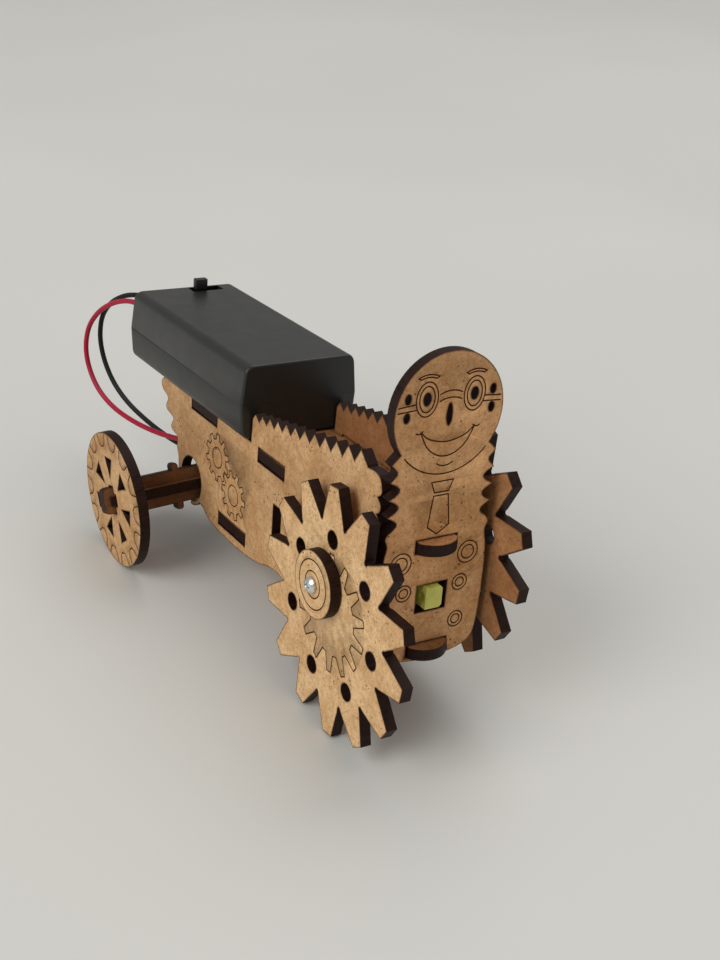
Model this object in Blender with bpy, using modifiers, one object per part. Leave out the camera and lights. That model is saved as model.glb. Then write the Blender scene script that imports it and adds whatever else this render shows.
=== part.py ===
"""Four wheel robot chassis cut from thin fibreboard, with a twin-shaft gearmotor and a battery box.

Chassis frame, in millimetres: X is across the chassis, the front faces -Y, and z = 0 is the ledge
that carries the battery box. The chassis frame is pitched and rolled so that the robot stands on
the floor on both rear wheels and on the one toothed front wheel whose offset points down.
"""
import math

import bmesh
import bpy
from mathutils import Matrix, Vector

MM = 0.001
SHEET = 2.8                    # thickness of every laser-cut sheet
GAP = 0.3                      # clearance between pieces that meet

# stance: the chassis frame on the floor
PITCH = math.radians(-6.1516)    # nose up
ROLL = math.radians(3.7)         # leans towards +X, within the play of the rear axle
STAND = Vector((3.062, -57.704, 53.318))

# body
PLATE_X = 12.3                 # mid-plane of each side plate
PLATE_OUT = PLATE_X + SHEET / 2
PLATE_IN = PLATE_X - SHEET / 2
FRONT_Y = 1.5                  # mid-plane of the front plate
FLOOR_SLOPE = math.radians(0.75)
DECK_TOP = -1.15               # top of the deck where it crosses the front plate
PAN_TOP = -27.75               # top of the bottom plate at the same place
TAB_HALF = 5.3                 # half width of the tabs through the front plate
DECK_TABS = ((46.7, 60.1), (84.1, 99.3))
PAN_TABS = ((65.6, 80.9),)
LEDGE_FRONT = 64.4
HEAD_Z = 28.8
HEAD_R = 14.3

# front axle
SHAFT = Vector((0.0, 15.95, -15.85))
SHAFT_R = 2.7
SHAFT_FLAT = 1.85              # half the width across the two flats
SHAFT_END = 18.5
WHEEL_X = 17.6                 # mid-plane of each toothed wheel
WHEEL_TEETH = 14
WHEEL_TIP = 31.2
WHEEL_ROOT = 22.3
WHEEL_OFFSET = 7.43            # throw of the wheel's centre from the shaft
WHEEL_ANGLE = math.radians(-119.8)
WHEEL_HOLES = 7
WHEEL_HOLE_RING = 18.3
WHEEL_HOLE_R = 2.2
HUB_X = 20.7
HUB_R = 8.25

# rear axle, in its own frame: it lies low in the eyes, slid sideways until a lug is beside a plate
EYE = (98.7, -23.9)            # centre of the eyes in the side plates
EYE_R = 6.4
AXLE_LINE = (98.7, -24.2)
AXLE_TURN = math.radians(-17.0)
AXLE_SLIDE = -1.5
STRIP_HALF = 4.65              # half the height of the two crossed strips
STUB_HALF = 3.6
STUB_END = 38.7
TONGUE_HALF = 2.9              # half width of the level strip where it passes the wheels
TONGUE_END = 36.9
LUG_X = (16.0, 18.0)
LUG_TOP = 6.5
REAR_WHEEL_R = 18.75
REAR_WHEEL_X = 34.2
REAR_WINDOWS = 7
REAR_WINDOW_ANGLE = math.radians(201.0)    # of one window, from the level strip

# battery box
BOX_HALF = 16.0                # at the top
BOX_WAIST = 16.9               # half width at the parting line, where the box is widest
BOX_BASE = 16.4                # half width at the bottom
BOX_FRONT = 64.7
BOX_REAR = 135.3
BOX_TOP = 20.2
BOX_SPLIT = 9.7
BOX_WALL = 1.3
CELL_R = 7.1
CELL_X = 7.3
CELL_FRONT = 70.6
CELL_LENGTH = 49.5
SLOT = (0.4, 10.0, 129.9, 133.9)        # X and Y of the switch's slot
COVER_SCREW = (0.0, 127.5, 0.3)
LEAD_EXITS = ((-13.0, 15.4), (-10.2, 17.0))
LEAD_R = 0.75

# gearmotor
GEARBOX_Y = (4.4, 41.4)
GEARBOX_HALF_X = 9.4
GEARBOX_HALF_Z = 11.1
GEARBOX_WALL = 1.4
NOSE_Z = -15.5
CASE_SCREWS = ((6.9, 9.0), (6.9, -9.0), (38.8, 8.6), (38.8, -8.6))   # Y, and Z from the shaft
CAN_Y = (41.8, 64.6)
CAN_R = 10.0
CAN_FLAT = 7.55

# three stages turn the shaft once for 48 turns of the motor
OUT_TEETH = 36
SMALL_TEETH = 9
SECOND_TEETH = 36
CROWN_TEETH = 24
PINION_TEETH = 8
OUT_PITCH_R = 9.0
OUT_SMALL_R = 2.25
SECOND_PITCH_R = 6.3
SECOND_SMALL_R = 1.575
CROWN_R = 4.8
OUT_GEAR_X = 1.6
OUT_GEAR_WIDTH = 4.0
SECOND_X = -5.1
SECOND_WIDTH = 3.0
FIRST_Y = 34.7                                   # the crown gear's axis, level with the shaft
SPAN = FIRST_Y - SHAFT.y
SHAFT_TO_SECOND = OUT_PITCH_R + OUT_SMALL_R
SECOND_TO_FIRST = SECOND_PITCH_R + SECOND_SMALL_R
ALONG = (SHAFT_TO_SECOND ** 2 - SECOND_TO_FIRST ** 2 + SPAN ** 2) / (2 * SPAN)
RISE = math.sqrt(SHAFT_TO_SECOND ** 2 - ALONG ** 2)
TO_SECOND = math.atan2(RISE, ALONG)              # directions in the Y-Z plane, from Y towards Z
TO_FIRST = math.atan2(-RISE, SPAN - ALONG)
SECOND_AXIS = Vector((0.0, SHAFT.y + ALONG, SHAFT.z + RISE))
FIRST_AXIS = Vector((0.0, FIRST_Y, SHAFT.z))
PIN_R = 0.8
BORE_R = 1.05

for leftover in list(bpy.data.objects):
    bpy.data.objects.remove(leftover)

PARTS = bpy.data.collections.new("robot_chassis")
CUTTERS = bpy.data.collections.new("cutters")
for collection in (PARTS, CUTTERS):
    bpy.context.scene.collection.children.link(collection)


# ---------------------------------------------------------------- materials

def make_material(name, colour, roughness, metallic=0.0):
    material = bpy.data.materials.new(name)
    material.use_nodes = True
    shader = material.node_tree.nodes["Principled BSDF"]
    shader.inputs["Base Color"].default_value = (*colour, 1.0)
    shader.inputs["Roughness"].default_value = roughness
    shader.inputs["Metallic"].default_value = metallic
    material.diffuse_color = (*colour, 1.0)
    return material


FIBREBOARD = make_material("fibreboard", (0.56, 0.36, 0.19), 0.7)
BLACK_PLASTIC = make_material("black_plastic", (0.03, 0.032, 0.034), 0.5)
YELLOW_PLASTIC = make_material("yellow_green_plastic", (0.62, 0.70, 0.18), 0.45)
WHITE_PLASTIC = make_material("white_plastic", (0.85, 0.85, 0.80), 0.4)
CLEAR_PLASTIC = make_material("clear_plastic", (0.75, 0.78, 0.78), 0.2)
STEEL = make_material("zinc_steel", (0.72, 0.74, 0.76), 0.25, 1.0)
BRASS = make_material("brass", (0.80, 0.60, 0.28), 0.3, 1.0)
MAGNET = make_material("magnet", (0.08, 0.08, 0.085), 0.55)
CELL_WRAP = make_material("cell_wrap", (0.10, 0.22, 0.16), 0.35)
RED_PVC = make_material("red_pvc", (0.62, 0.02, 0.06), 0.4)
BLACK_PVC = make_material("black_pvc", (0.02, 0.02, 0.022), 0.4)


# ---------------------------------------------------------------- frames

def make_frame(name, location=(0, 0, 0), rotation=(0, 0, 0), parent=None):
    frame = bpy.data.objects.new(name, None)
    PARTS.objects.link(frame)
    frame.location = Vector(location) * MM
    frame.rotation_euler = rotation
    frame.parent = parent
    return frame


CHASSIS = make_frame("chassis_frame")
CHASSIS.matrix_world = (Matrix.Translation(STAND * MM) @ Matrix.Rotation(PITCH, 4, "X")
                        @ Matrix.Rotation(ROLL, 4, "Y"))
FRONT_AXLE = make_frame("front_axle_frame", SHAFT, parent=CHASSIS)
REAR_AXLE = make_frame("rear_axle_frame", (0, *AXLE_LINE), (AXLE_TURN, -ROLL, 0), CHASSIS)

FACE_X = (math.pi / 2, 0, math.pi / 2)     # a flat outline stood up, its face along X
FACE_Y = (math.pi / 2, 0, 0)               # a flat outline stood up, its face along -Y


# ---------------------------------------------------------------- shapes

def arc(centre, radius, start, end, steps):
    """Points on an arc, both ends included. Angles are in degrees."""
    points = []
    for step in range(steps + 1):
        angle = math.radians(start + (end - start) * step / steps)
        points.append((centre[0] + radius * math.cos(angle), centre[1] + radius * math.sin(angle)))
    return points


def circle(centre, radius, steps):
    return arc(centre, radius, 0, 360, steps)[:-1]


def oval(centre, half_u, half_v, steps):
    return [(centre[0] + half_u * u, centre[1] + half_v * v) for u, v in circle((0, 0), 1, steps)]


def rectangle(low_u, high_u, low_v, high_v):
    return [(low_u, low_v), (high_u, low_v), (high_u, high_v), (low_u, high_v)]


def smooth(points, steps=3):
    """A Catmull-Rom curve through an open run of points, both ends included."""
    padded = [points[0], *points, points[-1]]
    result = []
    for index in range(1, len(padded) - 2):
        before, start, end, after = (Vector(point) for point in padded[index - 1:index + 3])
        for step in range(steps):
            t = step / steps
            curve = (2 * start + (end - before) * t + (2 * before - 5 * start + 4 * end - after) * t ** 2
                     + (3 * start - before - 3 * end + after) * t ** 3)
            result.append(tuple(curve / 2))
    result.append(tuple(points[-1]))
    return result


def gear_outline(teeth, root, tip, phase, root_share=0.23, tip_share=0.08):
    """A gear with straight-sided teeth. The shares are half tooth widths as parts of the pitch."""
    pitch = 2 * math.pi / teeth
    points = []
    for tooth in range(teeth):
        middle = phase + tooth * pitch
        for radius, share in ((root, -root_share), (tip, -tip_share), (tip, tip_share), (root, root_share)):
            angle = middle + share * pitch
            points.append((radius * math.cos(angle), radius * math.sin(angle)))
    return points


def add_piece(name, mesh, material, parent, location=(0, 0, 0), rotation=(0, 0, 0), collection=PARTS):
    piece = bpy.data.objects.new(name, mesh)
    collection.objects.link(piece)
    piece.parent = parent
    piece.location = Vector(location) * MM
    piece.rotation_euler = rotation
    mesh.materials.append(material)
    return piece


def meshed(holder, merge=0.000001):
    """Turns a curve object into a closed mesh and removes the curve object."""
    bpy.context.scene.collection.objects.link(holder)
    evaluated = holder.evaluated_get(bpy.context.evaluated_depsgraph_get())
    mesh = bpy.data.meshes.new_from_object(evaluated)
    mesh.name = holder.name
    bpy.data.objects.remove(holder)
    work = bmesh.new()
    work.from_mesh(mesh)
    bmesh.ops.remove_doubles(work, verts=work.verts, dist=merge)
    bmesh.ops.recalc_face_normals(work, faces=work.faces)
    work.to_mesh(mesh)
    work.free()
    return mesh


def sheet_mesh(name, loops, thickness=SHEET):
    """A flat outline with its holes, as a closed slab centred on its own plane."""
    curve = bpy.data.curves.new(name, "CURVE")
    curve.dimensions = "2D"
    curve.fill_mode = "BOTH"
    curve.extrude = thickness * MM / 2
    for loop in loops:
        spline = curve.splines.new("POLY")
        spline.points.add(len(loop) - 1)
        for point, (u, v) in zip(spline.points, loop):
            point.co = (u * MM, v * MM, 0, 1)
        spline.use_cyclic_u = True
    return meshed(bpy.data.objects.new(name, curve))


def sheet(name, loops, material, parent, location=(0, 0, 0), rotation=(0, 0, 0), thickness=SHEET):
    return add_piece(name, sheet_mesh(name, loops, thickness), material, parent, location, rotation)


def tube_mesh(name, points, radius):
    """A round wire along points, with few sides and filled ends."""
    curve = bpy.data.curves.new(name, "CURVE")
    curve.dimensions = "3D"
    curve.bevel_depth = radius * MM
    curve.bevel_resolution = 2
    curve.use_fill_caps = True
    spline = curve.splines.new("POLY")
    spline.points.add(len(points) - 1)
    for point, place in zip(spline.points, points):
        point.co = (*(Vector(place) * MM), 1)
    return meshed(bpy.data.objects.new(name, curve))


def block_mesh(name, size):
    mesh = bpy.data.meshes.new(name)
    work = bmesh.new()
    bmesh.ops.create_cube(work, size=1)
    bmesh.ops.scale(work, vec=Vector(size) * MM, verts=work.verts)
    work.to_mesh(mesh)
    work.free()
    return mesh


def rod_mesh(name, radius, length, sides=24):
    """A cylinder along its own Z, centred on its origin."""
    mesh = bpy.data.meshes.new(name)
    work = bmesh.new()
    bmesh.ops.create_cone(work, cap_ends=True, segments=sides, radius1=radius * MM,
                          radius2=radius * MM, depth=length * MM)
    work.to_mesh(mesh)
    work.free()
    return mesh


def round_shading(piece, angle=40):
    piece.data.shade_smooth()
    piece.data.set_sharp_from_angle(angle=math.radians(angle))


def add_bevel(piece, width, segments=3):
    bevel = piece.modifiers.new("rounded_edges", "BEVEL")
    bevel.width = width * MM
    bevel.segments = segments
    bevel.limit_method = "ANGLE"
    bevel.angle_limit = math.radians(40)
    return bevel


def combine(piece, other, operation):
    boolean = piece.modifiers.new(f"{operation.lower()}_{other.name}"[:60], "BOOLEAN")
    boolean.operation = operation
    boolean.object = other
    boolean.solver = "EXACT"


def tool(piece, name, mesh, location=(0, 0, 0), rotation=(0, 0, 0), operation="DIFFERENCE"):
    """Cuts from, joins to or keeps part of a piece with a hidden helper in the same parent frame."""
    helper = add_piece(name, mesh, FIBREBOARD, piece.parent, location, rotation, CUTTERS)
    helper.hide_render = True
    helper.display_type = "WIRE"
    combine(piece, helper, operation)
    return helper


def rounded_block(name, low, high, material, parent, radius=0.0, segments=3):
    low = Vector(low)
    high = Vector(high)
    piece = add_piece(name, block_mesh(name, high - low), material, parent, (low + high) / 2)
    if radius:
        add_bevel(piece, radius, segments)
    return piece


def cut_block(piece, name, low, high):
    low = Vector(low)
    high = Vector(high)
    return tool(piece, name, block_mesh(name, high - low), (low + high) / 2)


ALONG_X = (0, math.pi / 2, 0)
ALONG_Y = (math.pi / 2, 0, 0)


# ---------------------------------------------------------------- laser-cut body

def saw_edge():
    """Twelve saw teeth that grow from the battery box to the front, then the rounded front corner."""
    points = [(64.0, 6.5)]
    y = 62.6
    z = 8.1
    pitch = 3.7
    depth = 1.9
    for tooth in range(12):
        points.append((y, z))
        points.append((y - pitch * 0.55, z + 0.19 * pitch * 0.55 - depth))
        y -= pitch
        z += 0.19 * pitch
        pitch += 0.165
        depth += 0.13
    return points


def front_edge():
    """Rounded lobes down the front edge of a side plate, behind the serrated front plate."""
    y = FRONT_Y + SHEET / 2 + GAP
    points = smooth([(9.6, 14.5), (6.4, 14.8), (4.2, 13.9), (y, 11.6), (y + 0.3, 10.2), (y + 1.6, 9.3)])
    for notch in (9.3, 5.2, 1.1):
        points += [(y + 0.5, notch - 0.8), (y, notch - 1.6), (y, notch - 2.6), (y + 0.5, notch - 3.4),
                   (y + 1.6, notch - 4.1)]
    return points[:-1] + [(y, -4.6)]


def lower_edge():
    return smooth([(3.2, -24.5), (4.6, -28.6), (9.5, -31.2), (20.0, -32.2), (32.0, -31.9), (41.0, -30.2),
                   (47.5, -29.5), (52.5, -29.9), (57.4, -31.4), (64.5, -32.3), (73.0, -32.6), (82.0, -32.2),
                   (87.0, -31.5), (90.9, -29.6)])


def axle_eye():
    """A hooked eye, open at the bottom, that the rear axle snaps into and turns in."""
    lip = arc(EYE, 7.7, -138, -96, 5)
    inside = arc(EYE, EYE_R, -93, -393, 30)
    return lip + [(98.7, -31.3)] + inside + [(105.4, -27.9), (106.7, -27.2)]


def rear_edge():
    return smooth([(107.2, -24.0), (107.4, -20.4), (108.5, -18.2), (108.2, -15.6), (109.0, -14.6),
                   (111.8, -14.2), (112.8, -13.0), (111.4, -10.9), (112.2, -10.0), (115.4, -9.4),
                   (116.5, -8.2), (115.3, -6.2), (115.8, -5.1), (118.7, -4.1), (119.9, -2.4),
                   (118.9, -0.9), (117.2, 0.0)], 2)


def side_plate_loops():
    ledge = [(99.6, 0.0), (99.6, -3.3), (83.8, -3.3), (83.8, 0.0), (LEDGE_FRONT, 0.0)]
    outline = rear_edge() + ledge + saw_edge() + front_edge() + lower_edge() + axle_eye()
    front_slot = rectangle(46.4, 60.4, -3.9, 0.05)
    bottom_slot = rectangle(65.3, 81.2, -30.2, -26.45)
    tall_slot = rectangle(46.95, 51.15, -21.5, -11.8)
    shaft_hole = circle(SHAFT.yz, 4.0, 20)
    return [outline, front_slot, bottom_slot, tall_slot, shaft_hole]


def make_side_plates():
    mesh = sheet_mesh("side_plate", side_plate_loops())
    for name, side in (("side_plate_right", -1), ("side_plate_left", 1)):
        add_piece(name, mesh, FIBREBOARD, CHASSIS, (side * PLATE_X, 0, 0), FACE_X)


def front_plate_half():
    """The right half of the outline from the top of the head disc to the bottom edge."""
    points = arc((0, HEAD_Z), HEAD_R, 90, -35, 24)
    tip = 18.5
    for valley_x in (12.2, 11.3, 11.3, 11.4):
        points += [(13.9, tip), (valley_x + 0.7, tip - 1.0), (valley_x, tip - 1.7), (valley_x, tip - 2.4),
                   (valley_x + 0.7, tip - 3.1)]
        tip -= 4.13
    points += smooth([(13.2, 2.2), (13.95, 0.9), (13.3, -1.2), (13.9, -4.5), (14.3, -10.0), (14.2, -18.0),
                      (13.8, -24.0), (12.9, -28.3), (10.2, -30.5), (5.0, -31.8), (0.0, -32.3)])
    return points


def front_plate_loops():
    half = front_plate_half()
    outline = half + [(-x, z) for x, z in reversed(half[1:-1])]
    slope = math.tan(FLOOR_SLOPE) * FRONT_Y
    slots = []
    for top in (DECK_TOP, PAN_TOP):
        slots.append(rectangle(-TAB_HALF - GAP, TAB_HALF + GAP, top + slope - SHEET - GAP, top + slope + GAP))
    window = rectangle(-4.15, 4.15, -19.4, -12.4)
    eyes = [oval((x, 32.7), 1.0, 1.5, 14) for x in (-6.2, 6.2)]
    nose = oval((0, 28.6), 0.75, 2.6, 16)
    cheeks = [oval((x, z), 0.8, 1.2, 12) for x in (-11.1, 11.1) for z in (29.0, 33.2)]
    return [outline, *slots, window, *eyes, nose, *cheeks]


def make_front_plate():
    sheet("front_plate", front_plate_loops(), FIBREBOARD, CHASSIS, (0, FRONT_Y, 0), FACE_Y)


def level_plate_loops(rear_end, side_tabs, holes=()):
    """A plate between the side plates, with a round-nosed tab in front and tabs at its sides."""
    inner = PLATE_IN - GAP
    nose = arc((0, 3.1), 6.6, -90, -36.6, 7)
    points = nose + [(TAB_HALF, FRONT_Y + SHEET / 2 + GAP), (inner, FRONT_Y + SHEET / 2 + GAP)]
    for start, end in side_tabs:
        points += [(inner, start), (PLATE_OUT, start), (PLATE_OUT, end), (inner, end)]
    points.append((inner, rear_end))
    outline = points + [(-x, y) for x, y in reversed(points[1:])]
    return [outline, *holes]


def make_level_plates():
    wire_hole = circle((0, 30.0), 3.0, 16)
    plates = (("deck_plate", DECK_TOP, 103.5, DECK_TABS, [wire_hole]),
              ("bottom_plate", PAN_TOP, 87.5, PAN_TABS, []))
    for name, top, rear_end, tabs, holes in plates:
        sheet(name, level_plate_loops(rear_end, tabs, holes), FIBREBOARD, CHASSIS,
              (0, 0, top - SHEET / 2), (FLOOR_SLOPE, 0, 0))


# ---------------------------------------------------------------- front axle

def toothed_wheel_outline():
    """Straight-sided teeth with flat tips and rounded valleys, its offset shaft hole at the origin."""
    centre = Vector((math.cos(WHEEL_ANGLE), math.sin(WHEEL_ANGLE))) * WHEEL_OFFSET
    pitch = 2 * math.pi / WHEEL_TEETH
    points = []
    for tooth in range(WHEEL_TEETH):
        middle = WHEEL_ANGLE + tooth * pitch
        for radius, share in ((WHEEL_TIP, -0.137), (WHEEL_TIP, 0.137), (WHEEL_ROOT + 1.2, 0.425),
                              (WHEEL_ROOT + 0.3, 0.455), (WHEEL_ROOT, 0.5), (WHEEL_ROOT + 0.3, 0.545),
                              (WHEEL_ROOT + 1.2, 0.575)):
            angle = middle + share * pitch
            points.append((centre.x + radius * math.cos(angle), centre.y + radius * math.sin(angle)))
    return points


def flatted_circle(radius, flat, angle, steps=8):
    """A circle with two flats, turned by an angle in degrees."""
    limit = math.degrees(math.asin(flat / radius))
    points = arc((0, 0), radius, angle - limit, angle + limit, steps)
    return points + arc((0, 0), radius, angle + 180 - limit, angle + 180 + limit, steps)


def make_toothed_wheels():
    centre = Vector((math.cos(WHEEL_ANGLE), math.sin(WHEEL_ANGLE))) * WHEEL_OFFSET
    bore = flatted_circle(SHAFT_R + 0.2, SHAFT_FLAT + 0.2, math.degrees(WHEEL_ANGLE))
    loops = [toothed_wheel_outline(), bore]
    for hole in range(WHEEL_HOLES):
        angle = WHEEL_ANGLE + hole * 2 * math.pi / WHEEL_HOLES
        place = centre + Vector((math.cos(angle), math.sin(angle))) * WHEEL_HOLE_RING
        loops.append(circle(place, WHEEL_HOLE_R, 16))
    mesh = sheet_mesh("toothed_wheel", loops)
    half_turn = Matrix.Rotation(math.pi, 4, "X").to_euler()
    for name, side in (("front_wheel_right", -1), ("front_wheel_left", 1)):
        wheel = add_piece(name, mesh, FIBREBOARD, FRONT_AXLE, (side * WHEEL_X, 0, 0), FACE_X)
        if side > 0:
            turned = half_turn.to_matrix() @ wheel.rotation_euler.to_matrix()
            wheel.rotation_euler = turned.to_euler()


def make_hub_discs():
    loops = [circle((0, 0), HUB_R, 40), circle((0, 0), 1.3, 12)]
    mesh = sheet_mesh("hub_disc", loops, SHEET)
    for name, side in (("hub_disc_right", -1), ("hub_disc_left", 1)):
        add_piece(name, mesh, FIBREBOARD, FRONT_AXLE, (side * HUB_X, 0, 0), FACE_X)


def screw_mesh(name, head_r, head_h, shank_r, shank_length):
    """A pan-head screw turned about Z, its head up and its seat at z = 0."""
    profile = [(0, head_h), (head_r * 0.45, head_h * 0.96), (head_r * 0.8, head_h * 0.74),
               (head_r, head_h * 0.3), (head_r, 0), (shank_r, 0), (shank_r, -shank_length * 0.8),
               (0, -shank_length)]
    edges = [(index, index + 1) for index in range(len(profile) - 1)]
    mesh = bpy.data.meshes.new(name)
    mesh.from_pydata([(r * MM, 0, z * MM) for r, z in profile], edges, [])
    holder = bpy.data.objects.new(name, mesh)
    turn = holder.modifiers.new("turned", "SCREW")
    turn.steps = 16
    turn.render_steps = 16
    turn.use_merge_vertices = True
    turn.merge_threshold = 0.00001
    return meshed(holder)


def cross_recess(piece, name, location, rotation, half_length, width, depth):
    arm = half_length * 2
    for turn in (0, 1):
        size = (arm, width, depth) if turn else (width, arm, depth)
        tool(piece, f"{name}_{turn}", block_mesh(name, size), location, rotation)


def make_hub_screws():
    mesh = screw_mesh("hub_screw", 2.05, 1.4, 0.85, 8.5)
    seat = HUB_X + SHEET / 2 + 0.25
    for name, side in (("hub_screw_right", -1), ("hub_screw_left", 1)):
        rotation = (0, side * math.pi / 2, 0)
        screw = add_piece(name, mesh.copy(), STEEL, FRONT_AXLE, (side * seat, 0, 0), rotation)
        cross_recess(screw, f"cut_{name}", (side * (seat + 1.35), 0, 0), rotation, 1.15, 0.5, 1.1)
        round_shading(screw)


def make_output_shaft():
    """A nylon shaft with two flats at each end, a screw hole in each end and its gear in the middle."""
    angle = math.degrees(WHEEL_ANGLE)
    shaft = sheet("output_shaft", [flatted_circle(SHAFT_R, SHAFT_FLAT, angle)], WHITE_PLASTIC, FRONT_AXLE,
                  rotation=FACE_X, thickness=2 * SHAFT_END)
    middle = rod_mesh("round_shaft", SHAFT_R, 20.0)
    tool(shaft, "join_round_shaft", middle, rotation=ALONG_X, operation="UNION")
    teeth = gear_outline(OUT_TEETH, OUT_PITCH_R - 0.45, OUT_PITCH_R + 0.3, TO_SECOND)
    gear = sheet_mesh("output_gear", [teeth], OUT_GEAR_WIDTH)
    tool(shaft, "join_output_gear", gear, (OUT_GEAR_X, 0, 0), FACE_X, "UNION")
    for side in (-1, 1):
        tool(shaft, f"cut_screw_hole_{side}", rod_mesh("screw_hole", 1.1, 20.0, 12),
             (side * (SHAFT_END + 1.0), 0, 0), ALONG_X)


# ---------------------------------------------------------------- gear train

def make_second_gear():
    """The large wheel meshes with the crown gear's pinion, the small one turns the output gear."""
    frame = make_frame("second_gear_frame", SECOND_AXIS, parent=CHASSIS)
    large = gear_outline(SECOND_TEETH, SECOND_PITCH_R - 0.35, SECOND_PITCH_R + 0.2, TO_FIRST)
    small = gear_outline(SMALL_TEETH, OUT_SMALL_R - 0.45, OUT_SMALL_R + 0.3,
                         TO_SECOND + math.pi + math.pi / SMALL_TEETH)
    gear = sheet("second_gear", [large], WHITE_PLASTIC, frame, (SECOND_X, 0, 0), FACE_X, SECOND_WIDTH)
    tool(gear, "join_second_collar", rod_mesh("second_collar", 1.5, 4.2, 16), (-2.0, 0, 0), ALONG_X, "UNION")
    pinion = sheet_mesh("second_pinion", [small], OUT_GEAR_WIDTH)
    tool(gear, "join_second_pinion", pinion, (OUT_GEAR_X, 0, 0), FACE_X, "UNION")
    tool(gear, "cut_second_bore", rod_mesh("second_bore", BORE_R, 20.0, 16), rotation=ALONG_X)


def make_crown_gear():
    """Face teeth meet the motor pinion, and the spur behind them drives the second gear."""
    frame = make_frame("crown_gear_frame", FIRST_AXIS, parent=CHASSIS)
    small = gear_outline(SMALL_TEETH, SECOND_SMALL_R - 0.35, SECOND_SMALL_R + 0.2,
                         TO_FIRST + math.pi + math.pi / SMALL_TEETH)
    gear = sheet("crown_gear", [small], WHITE_PLASTIC, frame, (SECOND_X + 0.1, 0, 0), FACE_X,
                 SECOND_WIDTH + 0.2)
    tool(gear, "join_crown_disc", rod_mesh("crown_disc", 5.2, 1.0, 36), (-2.8, 0, 0), ALONG_X, "UNION")
    tool(gear, "join_crown_collar", rod_mesh("crown_collar", 1.4, 1.6, 16), (-3.6, 0, 0), ALONG_X, "UNION")
    teeth = gear_outline(CROWN_TEETH, 3.9, 5.15, math.pi / CROWN_TEETH, 0.14, 0.12)
    tool(gear, "join_crown_teeth", sheet_mesh("crown_teeth", [teeth], 1.0), (-1.95, 0, 0), FACE_X, "UNION")
    tool(gear, "cut_crown_dish", rod_mesh("crown_dish", 4.1, 2.0, 36), (-1.3, 0, 0), ALONG_X)
    tool(gear, "cut_crown_bore", rod_mesh("crown_bore", BORE_R, 20.0, 16), rotation=ALONG_X)


def make_gear_pins():
    """Two steel pins, fixed in the gearbox walls, that the second gear and the crown gear turn on."""
    mesh = rod_mesh("gear_pin", PIN_R, 17.0, 16)
    add_piece("gear_pin_second", mesh, STEEL, CHASSIS, SECOND_AXIS, ALONG_X)
    add_piece("gear_pin_crown", mesh, STEEL, CHASSIS, FIRST_AXIS, ALONG_X)


def make_rotor():
    """The motor shaft with its iron core, commutator and pinion."""
    frame = make_frame("rotor_frame", (0, 0, SHAFT.z), parent=CHASSIS)
    shaft = rod_mesh("motor_shaft", 1.0, 31.6, 16)
    rotor = add_piece("motor_rotor", shaft, STEEL, frame, (0, 53.2, 0), ALONG_Y)
    slots = gear_outline(3, 2.6, 5.6, 0, 0.20, 0.42)
    tool(rotor, "join_core", sheet_mesh("core", [slots], 11.0), (0, 53.0, 0), ALONG_Y, "UNION")
    tool(rotor, "join_commutator", rod_mesh("commutator", 1.9, 3.0, 16), (0, 61.6, 0), ALONG_Y, "UNION")
    teeth = gear_outline(PINION_TEETH, 1.15, 1.95, math.pi, 0.20, 0.10)
    sheet("motor_pinion", [teeth, circle((0, 0), 1.12, 12)], BRASS, frame, (0, 39.3, 0), ALONG_Y, 3.0)


# ---------------------------------------------------------------- gearbox and motor

def gearbox_profile(inset):
    """The gearbox seen from the side, in Y and Z, with its round-cornered front."""
    low_y = GEARBOX_Y[0] + inset
    high_y = GEARBOX_Y[1] - inset
    half = GEARBOX_HALF_Z - inset
    corner = 4.0 - inset
    front_top = arc((low_y + corner, SHAFT.z + half - corner), corner, 90, 180, 5)
    front_bottom = arc((low_y + corner, SHAFT.z - half + corner), corner, 180, 270, 5)
    return front_top + front_bottom + [(high_y, SHAFT.z - half), (high_y, SHAFT.z + half)]


def make_gearbox():
    """Two moulded shells that meet on the mid-plane, with a nose tab on the right one."""
    for name, side in (("gearbox_shell_right", -1), ("gearbox_shell_left", 1)):
        depth = GEARBOX_HALF_X - GAP / 2
        middle = side * (GAP / 2 + depth / 2)
        shell = sheet(name, [gearbox_profile(0)], YELLOW_PLASTIC, CHASSIS, (middle, 0, 0), FACE_X, depth)
        inside = 2 * (GEARBOX_HALF_X - GEARBOX_WALL)
        cavity = sheet_mesh("gearbox_cavity", [gearbox_profile(GEARBOX_WALL)], inside)
        tool(shell, f"cut_cavity_{side}", cavity, rotation=FACE_X)
        for index, (y, z) in enumerate(CASE_SCREWS):
            tool(shell, f"join_post_{side}_{index}", rod_mesh("post", 1.7, 8.6, 12),
                 (side * 4.6, y, SHAFT.z + z), ALONG_X, "UNION")
        for index, (y, z) in enumerate(CASE_SCREWS):
            tool(shell, f"cut_post_hole_{side}_{index}", rod_mesh("post_hole", 0.95, 24.0, 10),
                 (0, y, SHAFT.z + z), ALONG_X)
        tool(shell, f"cut_shaft_hole_{side}", rod_mesh("shaft_hole", SHAFT_R + 0.25, 24.0), SHAFT, ALONG_X)
        tool(shell, f"cut_pinion_hole_{side}", rod_mesh("pinion_hole", 3.1, 6.0),
             (0, GEARBOX_Y[1], SHAFT.z), ALONG_Y)
        for index, axis in enumerate((SECOND_AXIS, FIRST_AXIS)):
            tool(shell, f"cut_pin_hole_{side}_{index}", rod_mesh("pin_hole", PIN_R + 0.2, 17.4, 12),
                 axis, ALONG_X)
        if side < 0:
            make_nose(shell)


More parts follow.
